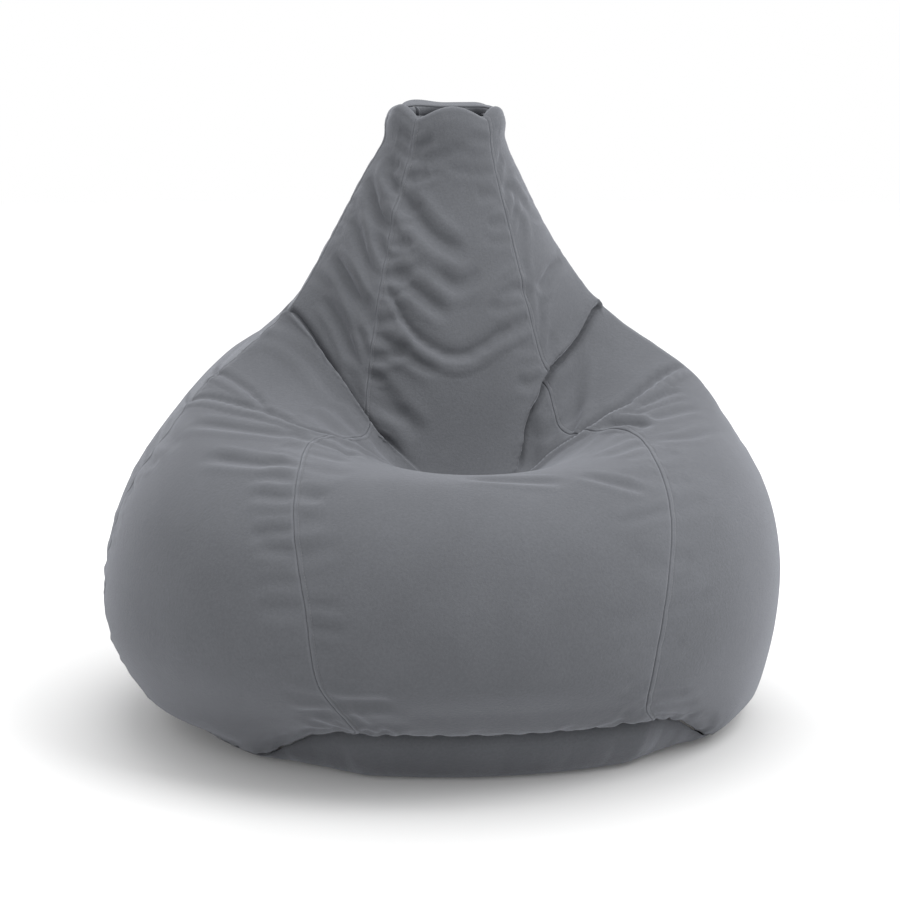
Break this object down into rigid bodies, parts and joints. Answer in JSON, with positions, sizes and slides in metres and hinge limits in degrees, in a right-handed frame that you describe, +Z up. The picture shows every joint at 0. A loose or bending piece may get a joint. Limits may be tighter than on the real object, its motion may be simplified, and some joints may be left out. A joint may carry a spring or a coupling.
{
  "type": "bean bag chair",
  "caption": "Pear-shaped bean bag chair with a seat hollow, six-panel zipped cover, carry strap, zipped liner and bead filling.",
  "frame": {"origin": "on the flat floor contact face, under the middle of the belly's width", "axes": "+Z up from the floor; the sitter faces -Y and leans back towards +Y; +X is to the sitter's left"},
  "size_m": [0.8856, 0.8893, 0.8],
  "materials": {
    "cover_cloth": "matte brushed",
    "sewing_thread": "matte",
    "zip_tape": "woven",
    "zip_coil": "satin nylon",
    "zip_metal": "satin",
    "label_ribbon": "satin ribbon",
    "liner_cloth": "nonwoven",
    "liner_tape": "woven",
    "liner_coil": "satin nylon",
    "bead_fill": "matte foam beads"
  },
  "bodies": {
    "bag": {"front_panel": "cover_cloth", "front_right_panel": "cover_cloth", "rear_right_panel": "cover_cloth", "back_panel": "cover_cloth", "rear_left_panel": "cover_cloth", "front_left_panel": "cover_cloth", "base_panel": "cover_cloth", "top_cap": "cover_cloth", "strap_tabs": "cover_cloth", "side_seam_thread": "sewing_thread", "base_seam_thread": "sewing_thread", "cap_seam_thread": "sewing_thread", "cover_zip_tape_left": "zip_tape", "cover_zip_tape_right": "zip_tape", "cover_zip_coil": "zip_coil", "cover_zip_stops": "zip_metal", "care_label": "label_ribbon", "liner_side": "liner_cloth", "liner_base": "liner_cloth", "liner_top": "liner_cloth", "liner_zip_tape_left": "liner_tape", "liner_zip_tape_right": "liner_tape", "liner_zip_coil": "liner_coil", "liner_zip_stops": "zip_metal", "bead_fill": "bead_fill"},
    "carry_strap": {"carry_strap": "cover_cloth"},
    "zip_slider": {"cover_zip_slider": "zip_metal"},
    "zip_pull": {"cover_zip_pull": "zip_metal"},
    "liner_slider": {"liner_zip_slider": "zip_metal"}
  },
  "joints": [
    {"name": "cover_zip_run", "type": "hinge", "parent": "bag", "child": "zip_slider", "pos_m": [-0.0275, 0.04763, 0.2], "axis": [0.866, 0.5, 0], "range_deg": [0, 53]},
    {"name": "cover_pull_lift", "type": "hinge", "parent": "zip_slider", "child": "zip_pull", "pos_m": [-0.21501, 0.3724, 0.08535], "axis": [0.866, 0.5, 0], "range_deg": [0, 140]},
    {"name": "strap_tip", "type": "hinge", "parent": "bag", "child": "carry_strap", "pos_m": [0.03, 0.168, 0.784], "axis": [1, 0, 0], "range_deg": [-45, 45]},
    {"name": "liner_zip_run", "type": "hinge", "parent": "bag", "child": "liner_slider", "pos_m": [0.0275, 0.04763, 0.2], "axis": [0.866, -0.5, 0], "range_deg": [0, 53]}
  ]
}
